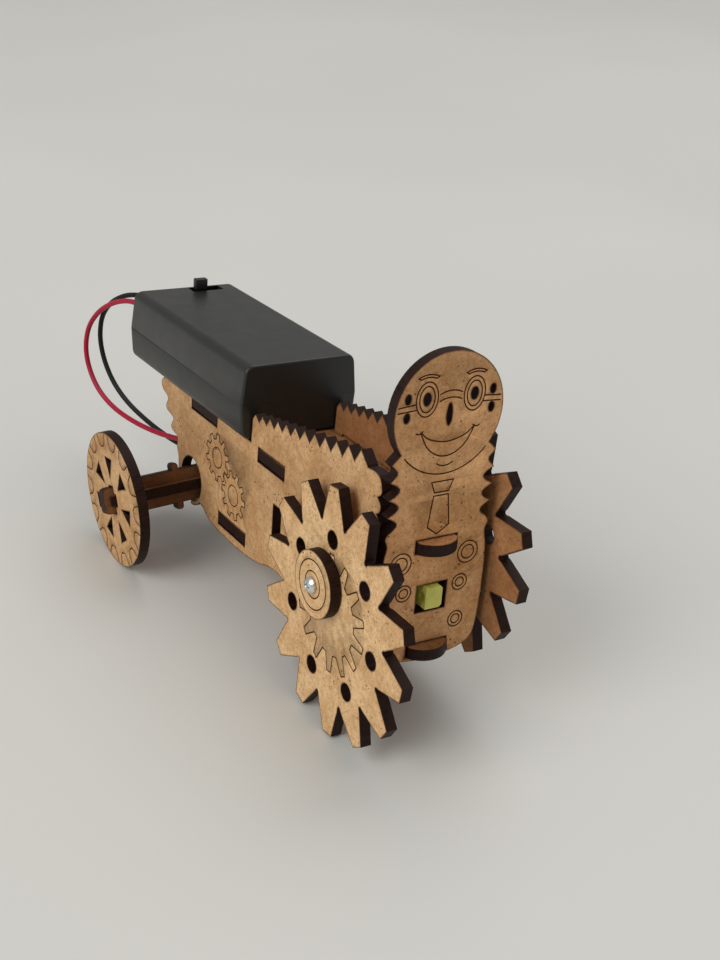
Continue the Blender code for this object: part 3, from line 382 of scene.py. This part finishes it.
def engraved_line():
    """The bottom of a shallow laser line: scorched brown, with paler and darker stretches."""
    net = Net("engraved_line")
    cloud = net.noise(1.2, 2.0)
    colour = net.mix(net.ramp(cloud, 0.35, 0.65), (0.060, 0.018, 0.004), (0.135, 0.044, 0.012))
    return net.finish(colour, 0.75, Specular_IOR_Level=0.2)


def moulded_plastic(name, dark, light, roughness):
    """Spark-textured moulded plastic with a few dust specks."""
    net = Net(name)
    fine = net.noise(6.0, 2.0)
    cloud = net.noise(0.08, 3.0)
    colour = net.mix(net.ramp(cloud, 0.35, 0.65), dark, light)
    distance, chance = net.cells(0.16)
    dust = net.math("MULTIPLY", net.ramp(distance, 0.010, 0.022, 1.0, 0.0), net.ramp(chance, 0.55, 0.6))
    colour = net.mix(net.math("MULTIPLY", dust, 0.35), colour, DUST)
    net.bump(fine, 0.03, 0.5)
    rough = net.ramp(net.noise(0.22, 3.0), 0.3, 0.7, roughness - 0.02, roughness + 0.02)
    return net.finish(colour, rough)


def plain_plastic(name, colour, roughness, **sockets):
    """Smooth plastic with slow changes of shade."""
    net = Net(name)
    cloud = net.noise(0.35, 3.0)
    shade = tuple(0.86 * part for part in colour)
    net.bump(net.noise(2.5, 2.0), 0.02, 0.4)
    return net.finish(net.mix(net.ramp(cloud, 0.3, 0.7), shade, colour), roughness, **sockets)


def metal(name, colour, roughness, scratch):
    """Bare metal with fine scratches. The scratch scale is in streaks a millimetre, along each axis."""
    net = Net(name)
    brush = net.noise(scratch, 3.0)
    shade = tuple(0.8 * part for part in colour)
    net.bump(brush, 0.01, 0.5)
    rough = net.ramp(brush, 0.3, 0.7, roughness * 0.7, roughness * 1.4)
    return net.finish(net.mix(brush, shade, colour), rough, metallic=1.0)


# Colour of the smoked patches, which on the darker board copies also serve as painted shade.
SMOKE_AND_SHADE = (0.190, 0.078, 0.026)
CHAR = (0.060, 0.023, 0.010)
SOOT = (0.009, 0.0033, 0.0022)
BURNT_WOOD = (0.030, 0.0108, 0.0066)
ASH = (0.028, 0.0115, 0.0080)
DUST = (0.55, 0.55, 0.53)

# Paler board for the wheels and hubs: partly its own tone, partly painted light for wheels that stand out of
# the body's shade.
LIT_PALE_BOARD = fibreboard_face("fibreboard_pale_lit", (0.67, 0.415, 0.198), (0.84, 0.570, 0.308))
BROWN_BOARD = fibreboard_face("fibreboard_brown", (0.56, 0.315, 0.138), (0.72, 0.455, 0.230), 0.18)
# Front plate board: smoked, and darker and redder as painted shade of a face turned away from the key light.
SMOKED_AND_SHADED_BOARD = fibreboard_face("fibreboard_smoked_and_shaded", (0.64, 0.328, 0.132), (0.80, 0.455, 0.212), 0.22)
# Board for the inner faces of the sheets: smoked, and darker as painted shade of faces turned into the
# chassis.
STAINED_AND_SHADED_BOARD = fibreboard_face("fibreboard_stained_and_shaded", (0.40, 0.180, 0.072), (0.52, 0.270, 0.120), 0.45)
# Board for the rear axle strips: darker as painted shade of the box and side plates above them.
SHADED_DARK_BOARD = fibreboard_face("fibreboard_painted_shade", (0.15, 0.062, 0.025), (0.22, 0.095, 0.040), 0.4)
EDGE_ACROSS_X = burnt_edge("burnt_edge_across_x", (6.0, 1.0, 1.0))
EDGE_ACROSS_Y = burnt_edge("burnt_edge_across_y", (1.0, 6.0, 1.0))
EDGE_ACROSS_Z = burnt_edge("burnt_edge_across_z", (1.0, 1.0, 6.0))
ENGRAVED = engraved_line()
BLACK_BOX = moulded_plastic("black_box_plastic", (0.0135, 0.014, 0.0125), (0.016, 0.0165, 0.015), 0.38)
BLACK_KNOB = moulded_plastic("black_knob_plastic", (0.006, 0.006, 0.006), (0.009, 0.009, 0.009), 0.42)
YELLOW = plain_plastic("yellow_green_plastic", (0.72, 0.66, 0.12), 0.38, Subsurface_Weight=0.15)
NYLON = plain_plastic("white_nylon", (0.78, 0.78, 0.72), 0.42)
STRAP = plain_plastic("clear_strap", (0.70, 0.74, 0.76), 0.22, Alpha=0.55)
ZINC = metal("zinc_plate", (0.80, 0.84, 0.85), 0.30, (2.0, 2.0, 2.0))
CAN_STEEL = metal("can_steel", (0.62, 0.63, 0.64), 0.30, (3.0, 0.3, 3.0))
BRASS = metal("brass", (0.80, 0.58, 0.26), 0.28, (2.0, 2.0, 2.0))
FERRITE = plain_plastic("ferrite", (0.06, 0.06, 0.065), 0.6)
WRAP = plain_plastic("cell_wrap", (0.08, 0.20, 0.13), 0.30)
RED_PVC = plain_plastic("red_pvc", (0.42, 0.004, 0.036), 0.40, Specular_IOR_Level=0.3)
BLACK_PVC = plain_plastic("black_pvc", (0.006, 0.008, 0.007), 0.45, Specular_IOR_Level=0.25)


# ---------------------------------------------------------------- laser-cut boards

FACE_SLOT, EDGE_SLOT, LINE_SLOT, BACK_SLOT, RIM_SLOT = range(5)


def loops_of(edges, faces):
    """Closed runs of vertices along a region's boundary, with the region on their left."""
    following = {}
    for edge in edges:
        corner = next(loop for loop in edge.link_loops if loop.face in faces)
        following[corner.vert] = corner.link_loop_next.vert
    runs = []
    while following:
        first, vertex = following.popitem()
        run = [first]
        while vertex != first:
            run.append(vertex)
            vertex = following.pop(vertex)
        runs.append(run)
    return runs


def inset_points(run, side, width):
    """Where each vertex of a run goes when the run moves into the sheet by a width."""
    points = []
    for index, vertex in enumerate(run):
        before = (vertex.co - run[index - 1].co).to_2d().normalized()
        after = (run[(index + 1) % len(run)].co - vertex.co).to_2d().normalized()
        first = Vector((-before.y, before.x)) * side
        second = Vector((-after.y, after.x)) * side
        shift = (first + second) / max(RIM_MITRE, 1.0 + first.dot(second)) * width
        points.append(vertex.co + shift.to_3d())
    return points


def add_rims(work, side):
    """Rebuilds one face of a sheet with a narrow band along every cut, for its scorched rim."""
    faces = {face for face in work.faces if face.normal.z * side > FACE_NORMAL}
    edges = [edge for edge in work.edges if len([face for face in edge.link_faces if face in faces]) == 1]
    runs = loops_of(edges, faces)
    shifted = [inset_points(run, side, RIM) for run in runs]
    bmesh.ops.delete(work, geom=list(faces), context="FACES_KEEP_BOUNDARY")
    inner_edges = []
    for run, points in zip(runs, shifted):
        inner = [work.verts.new(point) for point in points]
        for index in range(len(run)):
            other = (index + 1) % len(run)
            band = work.faces.new((run[index], run[other], inner[other], inner[index]))
            band.material_index = RIM_SLOT
            inner_edges.append(work.edges.get((inner[index], inner[other])))
    bmesh.ops.triangle_fill(work, use_beauty=True, edges=inner_edges, normal=(0, 0, side))


def stroke_solid(work, points, closed, low, high):
    """A ribbon along a stroke, as a closed solid that reaches from low to high."""
    rows = []
    count = len(points)
    for index, point in enumerate(points):
        here = Vector(point)
        before = here - Vector(points[index - 1]) if closed or index else None
        after = Vector(points[(index + 1) % count]) - here if closed or index < count - 1 else None
        before = (before or after).normalized()
        after = (after or before).normalized()
        first = Vector((-before.y, before.x))
        second = Vector((-after.y, after.x))
        shift = (first + second) / max(LINE_MITRE, 1.0 + first.dot(second)) * LINE
        rows.append([work.verts.new((*place, height)) for place, height in
                     ((here + shift, low), (here - shift, low), (here - shift, high), (here + shift, high))])
    for index in range(count if closed else count - 1):
        row = rows[index]
        other = rows[(index + 1) % count]
        for side in range(4):
            around = (side + 1) % 4
            work.faces.new((row[side], row[around], other[around], other[side]))
    if not closed:
        work.faces.new(rows[0])
        work.faces.new(reversed(rows[-1]))


def line_cutter(strokes, side, materials):
    """All the strokes of a face as one hidden cutter."""
    work = bmesh.new()
    surface = side * SHEET / 2
    low, high = sorted((surface - side * LINE_DEPTH, surface + side * LINE_CLEAR))
    for points, closed in strokes:
        stroke_solid(work, points, closed, low, high)
    bmesh.ops.recalc_face_normals(work, faces=work.faces)
    for face in work.faces:
        face.material_index = LINE_SLOT
    mesh = bpy.data.meshes.new("engraving")
    work.to_mesh(mesh)
    work.free()
    for material in materials:
        mesh.materials.append(material)
    cutter = bpy.data.objects.new("engraving", mesh)
    bpy.context.scene.collection.objects.link(cutter)
    return cutter


def mark_scorch(mesh, side):
    """Colours the outer side of every rim band, then gives both faces of the sheet their material."""
    edge_faces = [face for face in mesh.polygons if face.material_index == EDGE_SLOT]
    edge_vertices = {vertex for face in edge_faces for vertex in face.vertices}
    scorch = mesh.color_attributes.new("scorch", "FLOAT_COLOR", "CORNER")
    for face in mesh.polygons:
        banded = face.material_index == RIM_SLOT
        for corner in face.loop_indices:
            burnt = float(banded and mesh.loops[corner].vertex_index in edge_vertices)
            scorch.data[corner].color = (burnt, burnt, burnt, 1.0)
        if banded or face.material_index == FACE_SLOT:
            face.material_index = FACE_SLOT if face.normal.z * side > 0 else BACK_SLOT


def board(node, place, body, face, edge, strokes=(), side=1, back=None):
    """A laser-cut sheet in place of its CAD node, with scorched rims and engraved lines."""
    # Inner faces take the stained board, which is partly painted shade, unless a sheet gives its own.
    materials = (face, edge, ENGRAVED, back or STAINED_AND_SHADED_BOARD, face)
    work = bmesh.new()
    work.from_mesh(NODES[node].data)
    work.transform(place.inverted())
    bmesh.ops.remove_doubles(work, verts=work.verts, dist=BOARD_JOIN)
    bmesh.ops.recalc_face_normals(work, faces=work.faces)
    for polygon in work.faces:
        polygon.material_index = EDGE_SLOT if abs(polygon.normal.z) < FACE_NORMAL else FACE_SLOT
    for way in (-1, 1):
        add_rims(work, way)
    bmesh.ops.recalc_face_normals(work, faces=work.faces)
    mesh = bpy.data.meshes.new(f"{node}_board")
    work.to_mesh(mesh)
    work.free()
    for material in materials:
        mesh.materials.append(material)
    piece = bpy.data.objects.new(f"{node}_board", mesh)
    bpy.context.scene.collection.objects.link(piece)
    if strokes:
        cutter = line_cutter(strokes, side, materials)
        cut = piece.modifiers.new("engrave", "BOOLEAN")
        cut.operation = "DIFFERENCE"
        cut.solver = "EXACT"
        cut.use_self = True
        cut.object = cutter
        mesh = bpy.data.meshes.new_from_object(piece.evaluated_get(bpy.context.evaluated_depsgraph_get()))
        piece.modifiers.clear()
        piece.data = mesh
        bpy.data.objects.remove(cutter)
    mark_scorch(mesh, side)
    mesh.transform(place)
    for polygon in mesh.polygons:
        polygon.use_smooth = polygon.material_index == EDGE_SLOT
    mesh.set_sharp_from_angle(angle=CUT_SMOOTH)
    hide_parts(node)
    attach(piece, body)


def glasses_strokes(sign):
    """One side of the glasses: two rings round the eye, the brow above it and the two side bars."""
    eye = (sign * 6.2, 32.7)
    brow = arc(eye, 5.6, 62, 118, 12) + arc(eye, 5.0, 114, 66, 12)
    strokes = [(oval(eye, 2.8, 3.95, 48), True), (oval(eye, 1.95, 2.95, 48), True), (brow, True)]
    for inner, outer in (((8.75, 31.9), (13.5, 31.5)), ((8.55, 30.6), (13.5, 30.3))):
        strokes.append(([(sign * inner[0], inner[1]), (sign * outer[0], outer[1])], False))
    return strokes


def cheek_stroke(sign):
    """The short curve at one end of the smile."""
    start, end = (-130, -30) if sign < 0 else (-150, -50)
    return arc((sign * 7.6, 26.2), 1.3, start, end, 6), False


def ring_strokes(sign):
    """Three double rings down one side of the body."""
    strokes = []
    for x, z, outer, inner in ((9.1, -6.1, 2.75, 1.7), (7.7, -13.6, 2.0, 1.15), (7.6, -23.2, 2.0, 1.15)):
        strokes.append((circle((sign * x, z), outer, 36), True))
        strokes.append((circle((sign * x, z), inner, 30), True))
    return strokes


def smile_stroke():
    """A plain closed smile: an upper and a lower lip line."""
    upper = smooth([(-7.2, 25.4), (-4.6, 23.3), (0.0, 22.3), (4.6, 23.3), (7.2, 25.4)], 6)
    lower = smooth([(7.2, 25.4), (5.2, 21.6), (2.6, 19.5), (0.0, 18.9), (-2.6, 19.5), (-5.2, 21.6),
                    (-7.2, 25.4)], 6)
    return upper + lower[1:-1], True


def front_strokes():
    """The lines of the front plate: a plain round face with glasses, a tie and pairs of rings."""
    strokes = [(arc((0, 28.8), 14.1, -140, -40, 40), False)]
    for sign in (-1, 1):
        strokes.extend(glasses_strokes(sign))
        strokes.append(cheek_stroke(sign))
        strokes.extend(ring_strokes(sign))
    for height in (33.5, 31.9):
        strokes.append((arc((0, height - 6.0), 6.6, 63, 117, 10), False))
    strokes.append(smile_stroke())
    strokes.append((arc((0, 20.2), 3.6, -128, -52, 8), False))
    strokes.append(([(-2.9, 12.9), (2.9, 12.9), (1.9, 10.3), (-1.9, 10.3)], True))
    strokes.append(([(-2.0, 9.5), (1.9, 9.5), (2.9, 2.0), (-0.2, 0.0), (-2.9, 2.0)], True))
    return strokes


def side_strokes():
    """Two small meshing gears drawn on each side plate."""
    strokes = []
    for centre, phase in (((83.1, -11.65), 90.0), ((73.15, -18.7), 180.0)):
        strokes.append((gear_outline(centre, 10, 5.1, 6.7, math.radians(phase), 0.27, 0.17), True))
        strokes.append((circle(centre, 2.85, 32), True))
    return strokes


def toothed_wheel_strokes():
    """A smaller gear, drawn round the wheel's own centre, which is off the shaft's line."""
    centre = (WHEEL_OFFSET * math.cos(WHEEL_ANGLE), WHEEL_OFFSET * math.sin(WHEEL_ANGLE))
    return [(gear_outline(centre, 14, 10.3, 14.7, WHEEL_ANGLE, 0.33, 0.13), True)]


def hub_strokes():
    """Two rings round the screw."""
    return [(circle((0, 0), 6.0, 56), True), (circle((0, 0), 3.3, 40), True)]


def rear_wheel_strokes():
    """Fourteen U shapes that stand in from the rim."""
    strokes = []
    count = 14
    first = math.radians(188.5)
    rim = REAR_WHEEL_R - 0.3
    shape = [(rim, 2.9), (15.7, 1.9), (14.9, 0.9), (14.9, -0.9), (15.7, -1.9), (rim, -2.9)]
    for index in range(count):
        angle = first + index * 2 * math.pi / count
        out = Vector((math.cos(angle), math.sin(angle)))
        across = Vector((-out.y, out.x))
        strokes.append(([tuple(out * radius + across * half) for radius, half in shape], False))
    return strokes


def make_boards():
    """Every laser-cut sheet. Its local Z is across it, and side says which way its outer face looks."""
    for name, side in (("right", -1), ("left", 1)):
        flip = Matrix.Rotation(math.pi, 4, "X") if side > 0 else Matrix.Identity(4)
        side_place = CHASSIS @ Matrix.Translation((side * PLATE_X, 0, 0)) @ FACE_X
        wheel_place = AXLE @ Matrix.Translation((side * WHEEL_X, 0, 0)) @ flip @ FACE_X
        hub_place = AXLE @ Matrix.Translation((side * HUB_X, 0, 0)) @ FACE_X
        rear_place = REAR @ Matrix.Translation((side * REAR_WHEEL_X, 0, 0)) @ FACE_X
        board(f"side_plate_{name}", side_place, "chassis", BROWN_BOARD, EDGE_ACROSS_X, side_strokes(), side)
        # The wheels and hubs take the paler board, which is partly painted light.
        board(f"front_wheel_{name}", wheel_place, "front_axle", LIT_PALE_BOARD, EDGE_ACROSS_X,
              toothed_wheel_strokes(), side)
        board(f"hub_disc_{name}", hub_place, "front_axle", LIT_PALE_BOARD, EDGE_ACROSS_X, hub_strokes(), side)
        board(f"rear_wheel_{name}", rear_place, "rear_axle", BROWN_BOARD, EDGE_ACROSS_X,
              rear_wheel_strokes(), side)
    front_place = CHASSIS @ Matrix.Translation((0, FRONT_Y, 0)) @ FACE_Y
    # The front plate takes the darker board copy, which is partly painted shade.
    board("front_plate", front_place, "chassis", SMOKED_AND_SHADED_BOARD, EDGE_ACROSS_Y, front_strokes())
    for node, top in (("deck_plate", DECK_TOP), ("bottom_plate", PAN_TOP)):
        place = CHASSIS @ Matrix.Translation((0, 0, top - SHEET / 2)) @ Matrix.Rotation(FLOOR_SLOPE, 4, "X")
        board(node, place, "chassis", BROWN_BOARD, EDGE_ACROSS_Z, side=-1)
    # The axle strips take a dark board copy on both faces: painted shade.
    board("rear_axle_upright_strip", REAR @ FACE_Y, "rear_axle", SHADED_DARK_BOARD, EDGE_ACROSS_Y, back=SHADED_DARK_BOARD)
    board("rear_axle_level_strip", REAR, "rear_axle", SHADED_DARK_BOARD, EDGE_ACROSS_Z, back=SHADED_DARK_BOARD)


# ---------------------------------------------------------------- moulded and metal pieces

def close_gap(mesh):
    """Lets the box's parting line narrow from the rear to the front."""
    inverse = CHASSIS.inverted()
    for vertex in mesh.vertices:
        place = inverse @ vertex.co
        if abs(place.z - BOX_SPLIT) < GAP_REACH:
            forward = (BOX_REAR - place.y) / (BOX_REAR - BOX_FRONT)
            place.z += (BOX_SPLIT - place.z) * GAP_CLOSING * forward
            vertex.co = CHASSIS @ place


def smoothed(node, body, material, angle=30):
    """A CAD node's shape with joined vertices, shaded smooth except at edges sharper than the angle."""
    work = bmesh.new()
    work.from_mesh(NODES[node].data)
    bmesh.ops.remove_doubles(work, verts=work.verts, dist=SHAPE_JOIN * MM)
    bmesh.ops.dissolve_limit(work, angle_limit=math.radians(0.5), verts=work.verts, edges=work.edges)
    bmesh.ops.recalc_face_normals(work, faces=work.faces)
    mesh = bpy.data.meshes.new(f"{node}_shape")
    work.to_mesh(mesh)
    work.free()
    mesh.materials.append(material)
    piece = bpy.data.objects.new(f"{node}_shape", mesh)
    bpy.context.scene.collection.objects.link(piece)
    mesh.shade_smooth()
    mesh.set_sharp_from_angle(angle=math.radians(angle))
    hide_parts(node)
    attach(piece, body)
    return piece


def repaint(names, material):
    """Gives CAD nodes that keep their own shape a material."""
    for name in names:
        data = NODES[name].data
        data.materials.clear()
        data.materials.append(material)


def make_other_pieces():
    """The box, switch, gearbox and screws in smooth shading, and the hidden pieces as they are."""
    for name in ("battery_box_tray", "battery_box_cover"):
        shell = smoothed(name, "chassis", BLACK_BOX, angle=50)
        close_gap(shell.data)
        steady = shell.modifiers.new("steady_normals", "WEIGHTED_NORMAL")
        steady.keep_sharp = True
    smoothed("switch_slider", "switch_knob", BLACK_KNOB)
    for name in ("right", "left"):
        smoothed(f"gearbox_shell_{name}", "chassis", YELLOW)
    for name in ("right", "left"):
        smoothed(f"hub_screw_{name}", "front_axle", ZINC, angle=35)
    repaint(("output_shaft", "second_gear", "crown_gear", "motor_end_cap"), NYLON)
    repaint(("motor_strap",), STRAP)
    repaint(("motor_can", "motor_rotor", "gear_pin_second", "gear_pin_crown"), CAN_STEEL)
    repaint(("cover_screw", "gearbox_screw_1", "gearbox_screw_2", "gearbox_screw_3", "gearbox_screw_4",
             "contact_link_plate", "contact_plate_right", "contact_plate_left", "contact_spring_front",
             "contact_spring_rear"), ZINC)
    repaint(("motor_pinion", "motor_terminal_upper", "motor_terminal_lower"), BRASS)
    repaint(("motor_magnet_upper", "motor_magnet_lower"), FERRITE)
    repaint(("battery_cell_right", "battery_cell_left"), WRAP)
    repaint(("switch_body",), BLACK_KNOB)


make_lead("lead_red", RED_ROUTE, RED_PVC)
make_lead("lead_black", BLACK_ROUTE, BLACK_PVC)
make_boards()
make_other_pieces()


# ---------------------------------------------------------------- floor and light

def make_floor():
    """A plain pale floor, with very faint broad changes of shade."""
    net = Net("floor")
    cloud = net.noise(0.004, 2.0)
    colour = net.mix(net.ramp(cloud, 0.3, 0.7), (0.655, 0.655, 0.63), (0.685, 0.685, 0.66))
    material = net.finish(colour, 0.6)
    mesh = bpy.data.meshes.new("floor")
    reach = 4.0
    mesh.from_pydata([(-reach, -reach, 0), (reach, -reach, 0), (reach, reach, 0), (-reach, reach, 0)], [],
                     [(0, 1, 2, 3)])
    mesh.materials.append(material)
    floor = bpy.data.objects.new("floor", mesh)
    bpy.context.scene.collection.objects.link(floor)


def add_area_light(name, place, target, size, power, colour):
    """A round soft light that looks from its place at a target."""
    data = bpy.data.lights.new(name, "AREA")
    data.shape = "DISK"
    data.size = size
    data.energy = power
    data.color = colour
    light = bpy.data.objects.new(name, data)
    bpy.context.scene.collection.objects.link(light)
    light.location = place
    light.rotation_euler = (Vector(target) - Vector(place)).to_track_quat("-Z", "Y").to_euler()


def make_light():
    """Soft daylight: a pale sky, a broad key light from the near side and a weaker one from above."""
    world = bpy.data.worlds.new("studio")
    bpy.context.scene.world = world
    world.use_nodes = True
    sky = world.node_tree.nodes["Background"]
    sky.inputs["Color"].default_value = (1.0, 0.99, 0.97, 1.0)
    sky.inputs["Strength"].default_value = 0.38
    target = (0.0, 0.0, 0.03)
    add_area_light("key", (-1.50, -0.20, 1.25), target, 1.30, 18.5, (1.0, 0.98, 0.94))
    add_area_light("top", (0.60, 0.30, 1.20), target, 1.20, 6.3, (1.0, 0.99, 0.97))
    bpy.context.scene.view_settings.view_transform = "Standard"


make_floor()
make_light()
